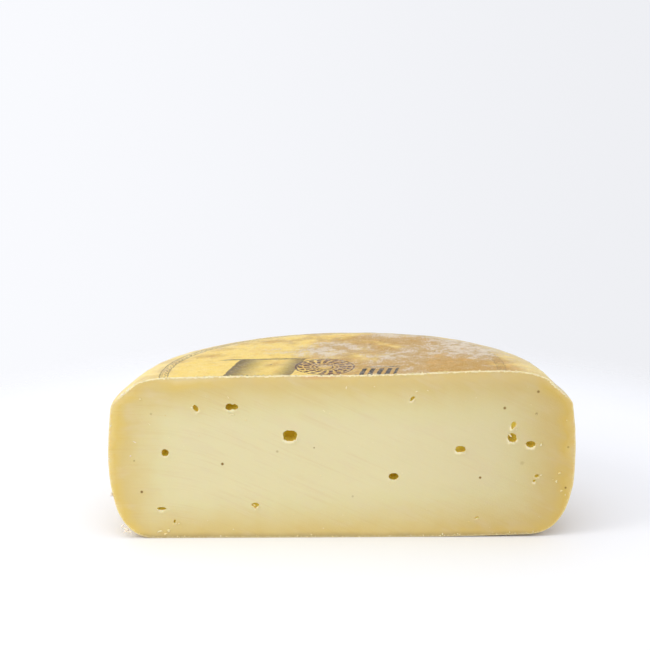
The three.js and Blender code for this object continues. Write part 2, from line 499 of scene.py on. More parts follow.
def lip_wobble(spots):
    """How unevenly the lips stand."""
    flat = np.stack([spots[:, 0], np.zeros(len(spots)), spots[:, 1]], 1)
    return 1 + 0.5 * fractal(flat, 1.3, 2, 6.0)


def nearest(spots, line, squash=1.0):
    """How far each spot is from the closed line, with heights stretched by squash."""
    stretch = np.array([1.0, squash])
    line, spots = line * stretch, spots * stretch
    best = np.full(len(spots), 1e9)
    for a, b in zip(line, np.roll(line, -1, axis=0)):
        along = b - a
        share = np.clip((spots - a) @ along / max(along @ along, 1e-12), 0, 1)
        best = np.minimum(best, np.hypot(*(spots - a - share[:, None] * along).T))
    return best


def add_cut(patches, wheel, loop):
    """The cut face, inside the rind's outline, round the rims of the eyes."""
    outline = loop[:, [0, 2]]
    eyes = [Eye(wheel, seed, **facts) for seed, facts in enumerate(EYES)]
    tangent = np.roll(outline, -1, axis=0) - np.roll(outline, 1, axis=0)
    tangent /= np.linalg.norm(tangent, axis=1)[:, None]
    inward = np.stack([-tangent[:, 1], tangent[:, 0]], 1)
    borders = [outline + inward * BURR_WIDTH * share for share in BORDERS]
    collars = [eye.ring(apart) for eye in eyes for apart in COLLARS]
    spots = honeycomb(outline.min(0), outline.max(0), CUT_STEP, 11)
    clear = inside(spots, outline) & (nearest(spots, outline) > 2.6 * BURR_WIDTH)
    for eye in eyes:
        clear &= eye.distance(spots)[0] > 1.5
    inner = np.concatenate([*borders, *collars, spots[clear]])
    points, faces = fill(outline, inner, [eye.ring() for eye in eyes])

    depth = nearest(points, outline)
    drying = nearest(points, outline, squash=UP_COUNTS)
    drying = drying * (1 - OLDER_SIDE * np.clip(points[:, 0] / wheel.radius, 0, 1) ** 0.7)
    for (less, over), away in ((FRESH_BASE, points[:, 1]),
                               (FRESH_TOP, wheel.height - points[:, 1])):
        drying += less * np.exp(-away / over)
    driest = np.sum((points - DRIEST_SPOT) ** 2, axis=1) / DRIEST_SPREAD**2
    drying -= DRIEST * np.exp(-driest)
    plan = np.stack([points[:, 0], np.zeros(len(points)), points[:, 1]], 1)
    wave = CUT_WAVE * fractal(plan, CUT_WAVE_LENGTH, 2, 2.0) * np.clip(depth / 8, 0, 1)
    burr = np.exp(-(((depth - BURR_WIDTH) / (0.6 * BURR_WIDTH)) ** 2))
    burr *= BURR_HEIGHT * np.clip(0.8 + 1.3 * fractal(plan, 1.9, 3, 5.0), 0.1, 2)
    burr *= np.clip((points[:, 1] - wheel.height + KNEE_DROP) / 6, 0.12, 1)
    lips = np.zeros(len(points))
    # Painted highlight: the raised lips below the eyes are coloured paler, as where they catch
    # the light from above.
    pale = np.zeros(len(points))
    patchy = np.clip(0.8 + 1.2 * fractal(plan, 2.5, 2, 13.0), 0.1, 1.3)
    for eye in eyes:
        raised = eye.raised(points)
        lips = np.maximum(lips, eye.lip * raised)
        pale = np.maximum(pale, raised * min(1, eye.lip / 0.65))
    on_rim = depth < 1e-6
    behind = np.where(on_rim, 0, wave - burr - lips * lip_wobble(points))
    starts = rim_starts(len(outline), eyes)
    for eye, start in zip(eyes, starts):
        rim = eye.ring()
        behind[start : start + len(rim)] = eye.rim_height(rim)
    solid = np.stack([points[:, 0], behind, points[:, 1]], 1)
    patches.add(solid, facing(points, faces, True), laid(points, CUT_MAP), PASTE,
                rind_depth=depth, drying=drying, lip=pale * patchy)
    for eye, start in zip(eyes, starts):
        eye.add_hollow(patches, drying[start])


def rim_starts(first, eyes):
    """The number of each eye's first rim point among the cut's points."""
    starts = []
    for eye in eyes:
        starts.append(first)
        first += len(eye.angle)
    return starts


def inside(spots, loop):
    """Which spots lie inside the closed loop."""
    within = np.zeros(len(spots), bool)
    for a, b in zip(loop, np.roll(loop, -1, axis=0)):
        crosses = (a[1] > spots[:, 1]) != (b[1] > spots[:, 1])
        rise = b[1] - a[1]
        if abs(rise) > 1e-12:
            x = a[0] + (spots[:, 1] - a[1]) / rise * (b[0] - a[0])
            within ^= crosses & (spots[:, 0] < x)
    return within


def half_wheel_mesh(shape):
    wheel = Wheel(shape)
    patches = Patches()
    side = add_side(patches, wheel)
    top = add_cap(patches, wheel, side[:, -1], wheel.height, 1, TOP_MAP)
    base = add_cap(patches, wheel, side[:, 0], 0.0, -1, BASE_MAP)
    loop = np.concatenate([side[0], top[::-1], side[-1][::-1], base])
    add_cut(patches, wheel, loop)
    return patches.mesh(NODE + "_skin")


# ---------------------------------------------------------------------------
# Crumbs
# ---------------------------------------------------------------------------

# Crumbs that show one by one: place across and up as for the eyes, long, thick and tilt.
CRUMBS = [
    (-0.855, 0.862, 1.7, 0.8, 25),
    (-0.82, 0.71, 1.8, 0.35, -42),
    (-0.885, 0.6, 2.0, 0.35, -25),
    (-0.905, 0.515, 1.0, 0.6, 0),
    (-0.575, 0.872, 1.6, 0.4, -40),
    (-0.48, 0.868, 1.6, 0.4, -55),
    (-0.465, 0.765, 3.4, 0.5, 4),
    (-0.075, 0.785, 1.6, 0.35, -50),
    (-0.05, 0.77, 1.4, 0.35, -30),
    (-0.09, 0.39, 1.3, 0.5, 30),
    (-0.636, 0.808, 1.5, 0.7, -50),
    (0.719, 0.631, 2.3, 0.7, -38),
    (0.745, 0.665, 1.0, 0.6, 20),
    (0.852, 0.575, 0.8, 1.6, 0),
    (0.287, 0.846, 2.2, 0.5, 40),
    (-0.797, 0.178, 1.3, 0.5, 10),
    (-0.744, 0.18, 1.3, 0.5, -10),
    (-0.705, 0.097, 0.7, 1.3, -20),
    (-0.378, 0.207, 1.6, 0.6, -20),
    (0.856, 0.385, 1.1, 0.6, 35),
    (0.936, 0.4, 1.8, 1.1, 15),
    (0.922, 0.347, 1.2, 1.1, 80),
    (0.946, 0.288, 1.6, 0.9, 25),
    (0.963, 0.262, 1.0, 0.6, 70),
    (-0.999, 0.58, 1.1, 0.7, 75),
    (-0.997, 0.5, 0.8, 0.5, 20),
    (-0.985, 0.7, 0.9, 0.5, 60),
    (0.959, 0.722, 0.7, 0.5, 0),
    (0.55, 0.1, 1.5, 0.45, 8),
    (0.60, 0.115, 1.0, 0.4, -30),
    (0.02, 0.925, 1.7, 0.5, 70),
    (0.14, 0.93, 1.2, 0.5, -20),
    (0.318, 0.9, 1.5, 0.5, 15),
    (-0.79, 0.045, 2.8, 0.8, 12),
    (-0.765, 0.03, 2.4, 1.1, 30),
    (-0.752, 0.05, 1.5, 1.3, 70),
    (-0.47, 0.055, 0.9, 0.6, 0),
    (-0.08, 0.06, 0.8, 0.5, 0),
]
# Scraps of coating that the knife left hanging at the left of the foot.
SCRAPS = [
    (-0.934, 0.062, 3.6, 1.5, -28),
    (-0.95, 0.083, 2.6, 1.2, 45),
    (-0.918, 0.042, 2.8, 1.1, -8),
    (-0.94, 0.046, 2.0, 1.3, 20),
    (-0.993, 0.28, 1.2, 2.2, 10),
]
# Crumbs along the torn top edge, along the bottom edge and over the cut.
TOP_CRUMBS = 330
FOOT_CRUMBS = 90
FACE_CRUMBS = 70


def add_crumb(work, x, y, z, long, thick, tilt, seed):
    """A torn bit of paste, half sunk in what it sticks to."""
    made = bmesh.ops.create_icosphere(work, subdivisions=2, radius=0.5)["verts"]
    turn = Matrix.Rotation(-math.radians(tilt), 3, "Y")
    for vert in made:
        lump = 1 + 0.55 * noise.noise(vert.co * 2.6 + Vector((seed, 0, seed * 0.3)))
        spot = vert.co * lump
        bend = 0.35 * thick * (2 * spot.x) ** 2
        shaped = Vector((spot.x * long, spot.y * thick, spot.z * thick - bend))
        vert.co = ORIGIN + (Vector((x, y, z)) + turn @ shaped) * MM


def cut_outline(wheel):
    """Points along the edge of the cut, without the rind's ripple."""
    base = [(radius, 0.0) for radius in np.linspace(0, wheel.profile[0][0], 85)]
    top = [(radius, wheel.height) for radius in np.linspace(wheel.profile[-1][0], 0, 70)]
    radius, height = np.concatenate([base, wheel.profile[1:], top[1:]]).T
    level = np.zeros(len(radius))
    right = wheel.surface(radius, level, height, level, level)
    left = wheel.surface(radius, level + math.pi, height, level, level)
    return np.concatenate([right, left[::-1]])


def crumb_mesh(shape, loop):
    wheel_radius = shape.width / 2 / MM
    height = shape.height / MM
    chance = np.random.default_rng(5)
    work = bmesh.new()
    for seed, (across, up, long, thick, tilt) in enumerate(CRUMBS + SCRAPS):
        add_crumb(work, across * wheel_radius, -0.15 * thick, up * height,
                  long, thick, tilt, seed)
    rim = resample(loop, 0.3)
    top = rim[rim[:, 2] > height - 0.7 * KNEE_DROP]
    foot = rim[(rim[:, 2] < 3) & (rim[:, 0] > -0.75 * wheel_radius)]
    for seed in range(TOP_CRUMBS):
        at = top[chance.integers(len(top))]
        size = 0.32 + 0.75 * chance.random() ** 3
        add_crumb(work, at[0], chance.uniform(-0.25, 0.3), at[2] + chance.uniform(-0.35, 0.15),
                  size * chance.uniform(1, 1.8), size * 0.8, chance.uniform(-60, 60), seed)
    for seed in range(FOOT_CRUMBS):
        at = foot[chance.integers(len(foot))]
        size = 0.3 + 0.6 * chance.random() ** 3
        add_crumb(work, at[0], -0.1, at[2] + chance.uniform(0.6, 2.4) * size,
                  size * chance.uniform(1, 1.6), size * 0.8, chance.uniform(0, 180), seed)
    for seed in range(FACE_CRUMBS):
        x = chance.uniform(-0.93, 0.93) * wheel_radius
        z = chance.uniform(0.04, 0.93) * height
        size = 0.22 + 0.4 * chance.random() ** 3
        add_crumb(work, x, -0.02, z, size * chance.uniform(1, 2.4), size * 0.6,
                  chance.uniform(-60, 20), seed)
    for face in work.faces:
        face.smooth = True
    mesh = bpy.data.meshes.new("knife_crumbs")
    work.to_mesh(mesh)
    work.free()
    return mesh


# ---------------------------------------------------------------------------
# Materials
# ---------------------------------------------------------------------------


# The nodes that the materials are made of, named for what each does: its kind, the
# settings that it needs and, where it has several outputs, the one that is used.
NODES = {
    "place": ("TexCoord", {}, "Object"),
    "way": ("TexCoord", {}, "Generated"),
    "field": ("Attribute", {}, "Fac"),
    "split": ("SeparateXYZ", {}),
    "join": ("CombineXYZ", {}),
    "map": ("Mapping", {}),
    "noise": ("TexNoise", {}, "Fac"),
    "cells": ("TexVoronoi", {}, "Distance"),
    "share": ("MapRange", {}),
    "ease": ("MapRange", {"interpolation_type": "SMOOTHSTEP"}),
    "stops": ("ValToRGB", {}, "Color"),
    "tint": ("Mix", {"data_type": "RGBA"}),
    "blend": ("Mix", {}),
    "plus": ("Math", {"operation": "ADD"}),
    "times": ("Math", {"operation": "MULTIPLY"}),
    "over": ("Math", {"operation": "DIVIDE"}),
    "power": ("Math", {"operation": "POWER"}),
    "log": ("Math", {"operation": "LOGARITHM"}),
    "most": ("Math", {"operation": "MAXIMUM"}),
    "less": ("Math", {"operation": "LESS_THAN"}),
    "sine": ("Math", {"operation": "SINE"}),
    "angle": ("Math", {"operation": "ARCTAN2"}),
    "moved": ("VectorMath", {"operation": "ADD"}),
    "away": ("VectorMath", {"operation": "SUBTRACT"}),
    "spread": ("VectorMath", {"operation": "MULTIPLY"}),
    "scaled": ("VectorMath", {"operation": "SCALE"}),
    "length": ("VectorMath", {"operation": "LENGTH"}),
    "bump": ("Bump", {}),
    "shader": ("BsdfPrincipled", {}),
    "result": ("OutputMaterial", {}),
}


def give(socket, value):
    """Links an input to a node's output, or sets it to a plain value."""
    if isinstance(value, bpy.types.NodeSocket):
        socket.id_data.links.new(value, socket)
    elif value is not None:
        socket.default_value = (*value, 1) if socket.type == "RGBA" else value


def add_node(tree, name, *values, **settings):
    """Adds a node and gives its output, or all of them if none is named. The values go to
    its inputs in order, and None leaves an input as it is. Ease takes a value, the low
    and high end of its range and what it gives there. Tint and blend take a share, what
    lies under and what lies over."""
    kind, usual, *output = NODES[name]
    made = tree.nodes.new("ShaderNode" + kind)
    for setting, value in {**usual, **settings}.items():
        setattr(made, setting, value)
    for socket, value in zip([one for one in made.inputs if one.enabled], values):
        give(socket, value)
    if output:
        return made.outputs[output[0]]
    outputs = [one for one in made.outputs if one.enabled]
    return outputs[0] if len(outputs) == 1 else outputs


def blank(name):
    """An empty material, and a function that adds nodes to it."""
    material = bpy.data.materials.new(name)
    material.use_nodes = True
    material.node_tree.nodes.clear()
    return material, partial(add_node, material.node_tree)


def finish(material, node, **inputs):
    """Ends a material in a shader with these inputs, a _ in a name standing for a space."""
    shader = node("shader")
    for name, value in inputs.items():
        give(shader.node.inputs[name.replace("_", " ")], value)
    node("result", shader)
    return material


def wheel_place(node):
    """The place on the wheel, in millimetres: x, y behind the cut, and z."""
    return node("scaled", node("away", node("place"), tuple(ORIGIN)), 1 / MM)


def grain(node, place, size, detail=3.0, rough=0.5, stretch=(1, 1, 1), shift=0.0):
    """Noise from 0 to 1 with features of this size in millimetres."""
    scale = tuple(1 / size / s for s in stretch)
    moved = node("map", place, (shift, shift * 0.4, -shift), None, scale)
    return node("noise", moved, 1.0, detail, rough)


def stripe(node, value, low, high, soft):
    """1 where the value lies between low and high, with soft edges."""
    rise = node("ease", value, low - soft, low + soft)
    fall = node("ease", value, high - soft, high + soft, 1.0, 0.0)
    return node("times", rise, fall)


def ramp(node, value, longest, stops):
    """A colour that changes with a length in millimetres."""
    colour = node("stops", node("share", value, None, longest))
    elements = colour.node.color_ramp.elements
    while len(elements) < len(stops):
        elements.new(0.5)
    for element, (place, code) in zip(elements, stops):
        element.position = place / longest
        element.color = (*linear(code), 1)
    return colour


def layered(node, colour, *layers):
    """A colour with layers over it, each with its share and its own colour."""
    for share, over in layers:
        colour = node("tint", share, colour, over)
    return colour


def most(node, *values):
    """The largest of these values."""
    return reduce(partial(node, "most"), values)


def total(node, *values):
    """The sum of these values."""
    return reduce(partial(node, "plus"), values)


def wave(node, value, rate):
    """A sine of the value times a rate."""
    return node("sine", node("times", value, rate))


def polar(node, place, centre):
    """How far a place is from a centre in plan, and which way it lies."""
    level = node("spread", node("away", place, centre), (1, 1, 0))
    x, y, _ = node("split", level)
    return node("length", level), node("angle", y, x)


# Paste dries from the rind inwards, so its colour goes from gold to cream with depth.
# Each stop is a depth in millimetres and the colour there.
DRIED_PASTE = [
    (0.0, "#E1CB8C"),
    (1.2, "#E2C97C"),
    (4.0, "#DBBF68"),
    (9.0, "#D6BF7C"),
    (17.0, "#D9C88E"),
    (29.0, "#DDD2A0"),
    (40.0, "#DFD4A6"),
]
PASTE_DEEP = 40.0

# The knife came in level from the left and then swung down to the right.
SWING_START = -84.0
SWING_WIDTH = 9.0
SWING_SLOPE = 0.46

# Specks in the paste: place across and up, radius in millimetres, and how strong.
SPECKS = [
    (-0.512, 0.462, 0.62, 1.0),
    (-0.862, 0.291, 0.6, 1.0),
    (0.693, 0.797, 0.62, 0.9),
    (0.834, 0.895, 0.62, 0.8),
    (0.595, 0.371, 0.55, 1.0),
    (0.829, 0.762, 0.6, 0.45),
    (0.774, 0.46, 0.9, 0.2),
    (0.969, 0.557, 0.5, 0.45),
    (0.964, 0.306, 0.5, 0.8),
    (-0.118, 0.56, 0.36, 0.7),
    (-0.276, 0.538, 0.55, 0.35),
    (-0.89, 0.484, 0.4, 0.5),
    (-0.811, 0.77, 0.5, 0.3),
    (0.047, 0.258, 0.5, 0.3),
]


def knife_direction(node, place):
    """Coordinates along and across the knife's drag marks."""
    x, _, z = node("split", place)
    off = node("over", node("plus", x, -SWING_START), SWING_WIDTH)
    grown = node("plus", node("power", math.e, off), 1.0)
    drop = node("times", node("log", grown, math.e), SWING_SLOPE * SWING_WIDTH)
    return node("join", x, 0.0, node("plus", z, drop))


def speck_mask(node, place, shape):
    """More than 0 on the dark specks. Only the distance along the cut counts."""
    masks = []
    for across, up, size, strong in SPECKS:
        spot = (across * shape.width / 2 / MM, 0.0, up * shape.height / MM)
        far = node("length", node("spread", node("away", place, spot), (1, 0, 1)))
        masks.append(node("ease", far, 0.5 * size, 1.8 * size, strong, 0.0))
    return most(node, *masks)


def knife_cut_paste(looks, shape):
    """Semi-hard cheese paste cut with a long knife. Fat makes it a little translucent
    and gives it a soft sheen. The blade leaves faint drag marks and smears."""
    material, node = blank("knife_cut_paste")
    place = wheel_place(node)
    x, _, z = node("split", place)
    drying = node("field", attribute_name="drying")
    depth = node("field", attribute_name="rind_depth")
    lip = node("field", attribute_name="lip")
    patchy = node("ease", grain(node, place, 14, 3), 0.3, 0.7, -1.6, 1.6)
    colour = ramp(node, node("plus", drying, patchy), PASTE_DEEP, DRIED_PASTE)

    # Drag marks 1 to 2 mm apart and many millimetres long, a shade pinker.
    marks = knife_direction(node, place)
    drag = grain(node, marks, 1.5, 4, 0.62, stretch=(26, 1, 1))
    haze = grain(node, marks, 9, 3, 0.6, stretch=(2.4, 1, 1), shift=3.0)
    pressed = node("times", node("ease", haze, 0.35, 0.62, 0.2, 1.0),
                   node("ease", x, -10.0, 60.0, 1.0, 0.5))
    marked = node("times", node("ease", drag, 0.47, 0.68, 0.0, 0.8), pressed)
    colour = node("tint", marked, colour, looks.drag, blend_type="MULTIPLY")
    # The bottom few millimetres are darker: paste dried darkest along the base, and painted shade
    # where the cut meets the floor.
    bottom_dried_and_shade = node("plus", z, node("times", patchy, 0.3))
    colour = layered(
        node, colour,
        (node("ease", haze, 0.48, 0.75, 0.0, 0.3), looks.smear),
        (node("ease", bottom_dried_and_shade, 0.2, 4.0, 0.65, 0.0), looks.bottom_dried_and_shade),
    )
    # Painted shade: the right of the cut is darkened, as it lies further from the key light at
    # the left.
    right_shade = node("ease", x, 10.0, 125.0, 0.0, 0.6)
    colour = node("tint", right_shade, colour, looks.right_shade, blend_type="MULTIPLY")

    # The knife dragged a little colour from the rind and the red ink over the top edge.
    dragged = node("ease", z, 84.0, 92.5, 0.0, 0.3)
    inky = node("times", stripe(node, x, -21.0, -4.0, 3.0), node("ease", z, 89.5, 92.5, 0.0, 0.3))
    # The coating's own edge, half a millimetre thick, torn and pale.
    torn = node("ease", grain(node, place, 1.1, 3), 0.3, 0.7, 0.35, 1.1)
    edge = node("times", node("less", depth, torn), node("ease", z, 78.0, 88.0, 0.3, 0.8))
    colour = layered(
        node, colour,
        # Painted highlight on the raised lips below the eyes.
        (node("ease", lip, 0.08, 0.8, 0.0, 0.85), looks.fresh),
        (speck_mask(node, place, shape), looks.speck),
        (dragged, looks.smear),
        (inky, looks.ink_pink),
        (edge, looks.fresh),
    )
    crumbly = node("bump", 1.0, 0.1 * MM, None, grain(node, place, 0.9, 4, 0.6, shift=8.0))
    return finish(
        material, node, Base_Color=colour,
        Roughness=node("ease", drag, 0.3, 0.75, 0.42, 0.62),
        Normal=node("bump", 1.0, 0.05 * MM, None, drag, crumbly),
        IOR=1.45, Specular_IOR_Level=0.4, Subsurface_Weight=0.3,
        Subsurface_Radius=(1.0, 0.7, 0.3), Subsurface_Scale=2.5 * MM,
    )


def eye_wall_paste(looks):
    """The smooth, moist wall of an eye. Its deep gold is painted light, standing for light that
    has come through the paste, and it darkens inwards as painted shade in the hollow."""
    material, node = blank("eye_wall_paste")
    place = wheel_place(node)
    eye = node("field", attribute_name="eye")
    colour = node("tint", node("ease", eye, 0.0, 0.2), looks.fresh, looks.eye)
    return finish(
        material, node,
        Base_Color=node("tint", node("ease", eye, 0.3, 1.0), colour, looks.eye_deep_shade),
        Roughness=node("ease", eye, 0.0, 0.5, 0.5, 0.32),
        Normal=node("bump", 1.0, 0.08 * MM, None, grain(node, place, 0.8)),
        IOR=1.45, Specular_IOR_Level=0.12, Subsurface_Weight=0.6,
        Subsurface_Radius=(1.0, 0.7, 0.12), Subsurface_Scale=3.0 * MM,
    )


def torn_paste(looks):
    """Crumbs and curls of fresh paste: paler than the cut, because they are thin."""
    material, node = blank("torn_paste")
    place = wheel_place(node)
    x, _, z = node("split", place)
    fresh = node("ease", grain(node, place, 3), 0.35, 0.65)
    # Flecks of ink, where the cut went through the stamp.
    stamped = node("times", stripe(node, x, BLOCK_X[0], BARS_X[1], 2.0),
                   node("ease", z, 91.5, 92.6))
    fleck = node("times", node("ease", grain(node, place, 1.6, 2), 0.53, 0.6, 0.0, 0.85), stamped)
    # The scraps at the left of the foot are the rind's thin, clear coating.
    scrap = node("ease", x, -111.0, -109.0, 0.8, 0.0)
    return finish(
        material, node,
        Base_Color=layered(node, looks.crumb, (fresh, looks.fresh), (fleck, looks.ink),
                           (scrap, looks.coating)),
        Roughness=node("ease", grain(node, place, 1), 0.3, 0.7, 0.45, 0.7),
        Normal=node("bump", 1.0, 0.06 * MM, None, grain(node, place, 0.5)),
        IOR=1.45, Subsurface_Weight=0.4, Subsurface_Radius=(1.0, 0.8, 0.5),
        Subsurface_Scale=1.0 * MM,
    )


# The stamp on the top, in generic marks: a double ring with a wavy line and ticks
# between, a faded block, a rosette and a row of bars. Lengths are in millimetres.
RING_CENTRE = (-4.8, 10.0, 0.0)
RING_INNER = 89.3
RING_OUTER = 93.7
RING_LINE = 0.34
TICKS_ROUND = 250
WAVES_ROUND = 120
BLOCK_X = (-64.0, -27.5)
BLOCK_DEEP = 35.0
BLOCK_TAIL = 10.0
ROSETTE_CENTRE = (-9.0, 17.0, 0.0)
ROSETTE_INNER = 5.0
ROSETTE_OUTER = 16.5
PETALS = 18
ROSETTE_ROW = 4.4
BARS_X = (9.0, 29.0)
BARS_DEEP = (0.0, 12.0)
BAR_PITCH = 4.6
STAMP_LEAN = 0.227  # the stamp's marks lean this much across for each millimetre back
INKED_ABOVE = 82.0  # the stamp is only on the top
INK_BLUR = 1.8
DOT_SPACING = 14.0


def ring_ink(node, place):
    """The stamped ring: two thin lines, a wavy line and slanting ticks."""
    radius, angle = polar(node, place, RING_CENTRE)
    inner, outer = (stripe(node, radius, line - RING_LINE, line + RING_LINE, 0.15)
                    for line in (RING_INNER, RING_OUTER))
    middle = (RING_INNER + RING_OUTER) / 2
    waved = node("plus", node("times", wave(node, angle, WAVES_ROUND), 0.6), radius)
    wavy = stripe(node, waved, middle - 1.1, middle - 0.5, 0.15)
    slant = node("plus", node("times", angle, TICKS_ROUND), node("times", radius, 1.6))
    tick = node("times", node("ease", wave(node, slant, 1.0), 0.0, 0.6, 0.0, 0.9),
                stripe(node, radius, middle + 0.4, RING_OUTER - 0.5, 0.15))
    return most(node, inner, outer, wavy, tick)


def leaning(node, place):
    """x straightened along the stamp's lean, and y."""
    x, y, _ = node("split", place)
    return node("plus", x, node("times", y, -STAMP_LEAN)), y


def block_ink(node, place):
    """A plain faded block with darker sides, ruled along its back edge."""
    x, y = leaning(node, place)
    low, high = BLOCK_X
    middle = (low + high) / 2
    depth = node("ease", y, BLOCK_DEEP - 0.5, BLOCK_DEEP + 0.5, 1.0, 0.0)
    body = node("times", stripe(node, x, low, high, 0.3), depth)
    shade = most(
        node,
        node("ease", x, low, middle + 2, 1.0, 0.1),
        node("ease", x, middle + 3, high, 0.0, 0.85),
        node("times", node("ease", y, 0.0, 5.0, 0.5, 0.0), node("ease", x, low, high, 1.0, 0.5)),
        stripe(node, x, low, low + 0.6, 0.2),
        stripe(node, x, high - 0.6, high, 0.2),
    )
    rule = node("times", stripe(node, y, BLOCK_DEEP - 1.3, BLOCK_DEEP + 0.6, 0.6),
                stripe(node, x, low - BLOCK_TAIL, high, 4.0))
    return most(node, node("times", body, shade), rule)


def rosette_ink(node, place):
    """A ring of slanting leaves between two circles."""
    radius, angle = polar(node, place, ROSETTE_CENTRE)
    swirl = node("plus", node("times", angle, PETALS), node("times", radius, 0.5))
    leaf = node("times", node("ease", wave(node, swirl, 1.0), -0.6, -0.1),
                stripe(node, radius, ROSETTE_INNER + 1.2, ROSETTE_OUTER - 1.8, 0.3))
    rows = node("ease", wave(node, radius, 2 * math.pi / ROSETTE_ROW), -0.95, -0.7)
    rim = stripe(node, radius, ROSETTE_OUTER - 1.1, ROSETTE_OUTER, 0.2)
    hub = stripe(node, radius, ROSETTE_INNER - 0.9, ROSETTE_INNER, 0.2)
    return most(node, node("times", leaf, rows), rim, hub)


def bar_ink(node, place):
    """A row of plain bars with a rule behind them."""
    x, y = leaning(node, place)
    bars = node("times", node("ease", wave(node, x, 2 * math.pi / BAR_PITCH), -0.35, 0.0),
                stripe(node, y, *BARS_DEEP, 0.3))
    rule = stripe(node, y, BARS_DEEP[1] + 2.2, BARS_DEEP[1] + 3.2, 0.2)
    return node("times", most(node, bars, rule), stripe(node, x, *BARS_X, 0.3))


def coated_rind(looks):
    """Natural rind under a thin, yellowed cheese coating, brushed on by hand: satin, with
    a dusty white bloom where the cellar's mould has grown on it."""
    material, node = blank("coated_rind")
    place = wheel_place(node)
    x, y, z = node("split", place)
    radius = node("length", node("spread", place, (1, 1, 0)))

    # Gold, with ochre clouds, fewer of them where the rim of the top has been rubbed. Their
    # growth towards the right is painted shade, the right lying further from the light at the
    # left.
    darker = node("times", node("ease", x, -70.0, 50.0, -0.15, 0.22),
                  node("ease", radius, 82.0, 104.0, 1.0, 0.2))
    mottle = node("plus", grain(node, place, 17, 5, 0.6), darker)
    # The side, where more coating has run together, is olive.
    flush = grain(node, place, 30, 4, 0.6, shift=6.0)
    thick = node("times", node("ease", flush, 0.3, 0.62, 0.4, 1.0),
                 node("ease", z, 62.0, 84.0, 1.0, 0.0))
    warm = grain(node, place, 11, 5, 0.7, shift=14.0)
    warmer = node("times", node("ease", warm, 0.5, 0.72), node("ease", x, -80.0, 0.0, 0.25, 0.6))
    freckles = grain(node, place, 1.8, 4, 0.7, shift=5.0)
    # The slant above the knee has been rubbed pale.
    slant = node("times", node("ease", radius, 88.0, 106.0), node("ease", z, 72.0, 80.0))
    slant = node("times", slant, node("ease", x, -60.0, 60.0, 0.55, 0.6))
    # Fine grains of dried coating, a third of a millimetre across, drawn at 0.8.
    grit = grain(node, place, 0.8, 3, 0.7, shift=11.0)
    colour = layered(
        node, looks.rind,
        (node("ease", mottle, 0.38, 0.66), looks.rind_ochre),
        (thick, looks.rind_olive),
        (warmer, looks.rind_orange),
        (node("ease", freckles, 0.5, 0.75, 0.0, 0.35), looks.rind_ochre),
        (node("ease", freckles, 0.2, 0.45, 0.35, 0.0), looks.rind_pale),
        (slant, looks.rind_pale),
        (node("ease", grit, 0.52, 0.7, 0.0, 0.45), looks.rind_pale),
        (node("ease", grit, 0.3, 0.46, 0.2, 0.0), looks.rind_ochre),
    )

    # Old ink, rubbed thin and a little blurred.
    blur = grain(node, place, 1.8, 2, 0.5, shift=17.0)
    shake = node("scaled", node("away", blur, (0.5, 0.5, 0.5)), INK_BLUR)
    inked = node("moved", place, shake)
    wear = node("ease", grain(node, place, 1.4, 4, 0.7, shift=2.0), 0.28, 0.48, 0.5, 1.0)
    worn = node("times", wear, node("ease", z, INKED_ABOVE - 1, INKED_ABOVE + 1))
    fading = node("times", worn, node("ease", x, 20.0, 80.0, 0.85, 0.4))
    # Tiny rusty dots, a millimetre and a half across and a centimetre or two apart.
    dots = node("cells", place, 1 / DOT_SPACING)
    colour = layered(
        node, colour,
        (node("times", block_ink(node, inked), worn), looks.ink_faded),
        (node("times", rosette_ink(node, inked), worn), looks.ink_red),
        (node("times", bar_ink(node, inked), worn), looks.ink),
        (node("times", ring_ink(node, inked), fading), looks.ink_ring),
        (node("ease", dots, 0.03, 0.07, 0.8, 0.0), looks.rust),
    )

    # Bloom in clouds of some centimetres, broken into clumps and then into grains. The
    # right and the back of the wheel have most of it, and so has the right of the knee.
    knee = node("times", stripe(node, z, 77.0, 89.0, 3.0), node("ease", x, 40.0, 105.0, 0.0, 0.2))
    gathered = total(
        node,
        grain(node, place, 36, 2, 0.5, shift=21.0),
        node("ease", x, -70.0, 75.0, -0.15, 0.07),
        node("ease", y, 8.0, 50.0, -0.14, 0.06),
        knee,
    )
    patch = grain(node, place, 6, 6, 0.68, shift=30.0)
    dust = grain(node, place, 0.9, 3, 0.65)
    clumped = total(node, gathered, patch, node("ease", dust, 0.3, 0.7, -0.16, 0.16))
    veil = node("times", node("ease", gathered, 0.42, 0.68, 0.0, 0.5),
                node("ease", dust, 0.3, 0.65))
    bloom = most(node, node("ease", clumped, 0.96, 1.3, 0.0, 0.85), veil)
    mould = node("tint", node("ease", patch, 0.35, 0.6), looks.bloom_grey, looks.bloom)

    satin = node("ease", grain(node, place, 5, 3), 0.3, 0.7, 0.36, 0.55)
    brushed = grain(node, place, 3.2, 3, 0.55, stretch=(2.2, 2.2, 1))
    relief = None
    for deep, height in ((0.3, brushed), (0.4, freckles), (0.14, grit),
                         (0.3, node("times", bloom, dust))):
        relief = node("bump", 1.0, deep * MM, None, height, relief)
    return finish(
        material, node,
        Base_Color=node("tint", bloom, colour, mould),
        Roughness=node("blend", bloom, satin, 0.85), Normal=relief,
        IOR=1.5, Specular_IOR_Level=0.3, Coat_Weight=0.08, Coat_Roughness=0.22, Coat_IOR=1.5,
        Subsurface_Weight=0.15, Subsurface_Radius=(1.0, 0.7, 0.25), Subsurface_Scale=1.5 * MM,
    )


# ---------------------------------------------------------------------------
# Stage
# ---------------------------------------------------------------------------

# The camera stands in front of the cut: its distance, height, sideways place and lens.
CAMERA_AWAY = 0.7378
CAMERA_HEIGHT = 0.2973
CAMERA_ACROSS = -0.0088
CAMERA_PITCH = 13.46
CAMERA_ROLL = -0.25
SENSOR = 36.0
LENS = 78.85

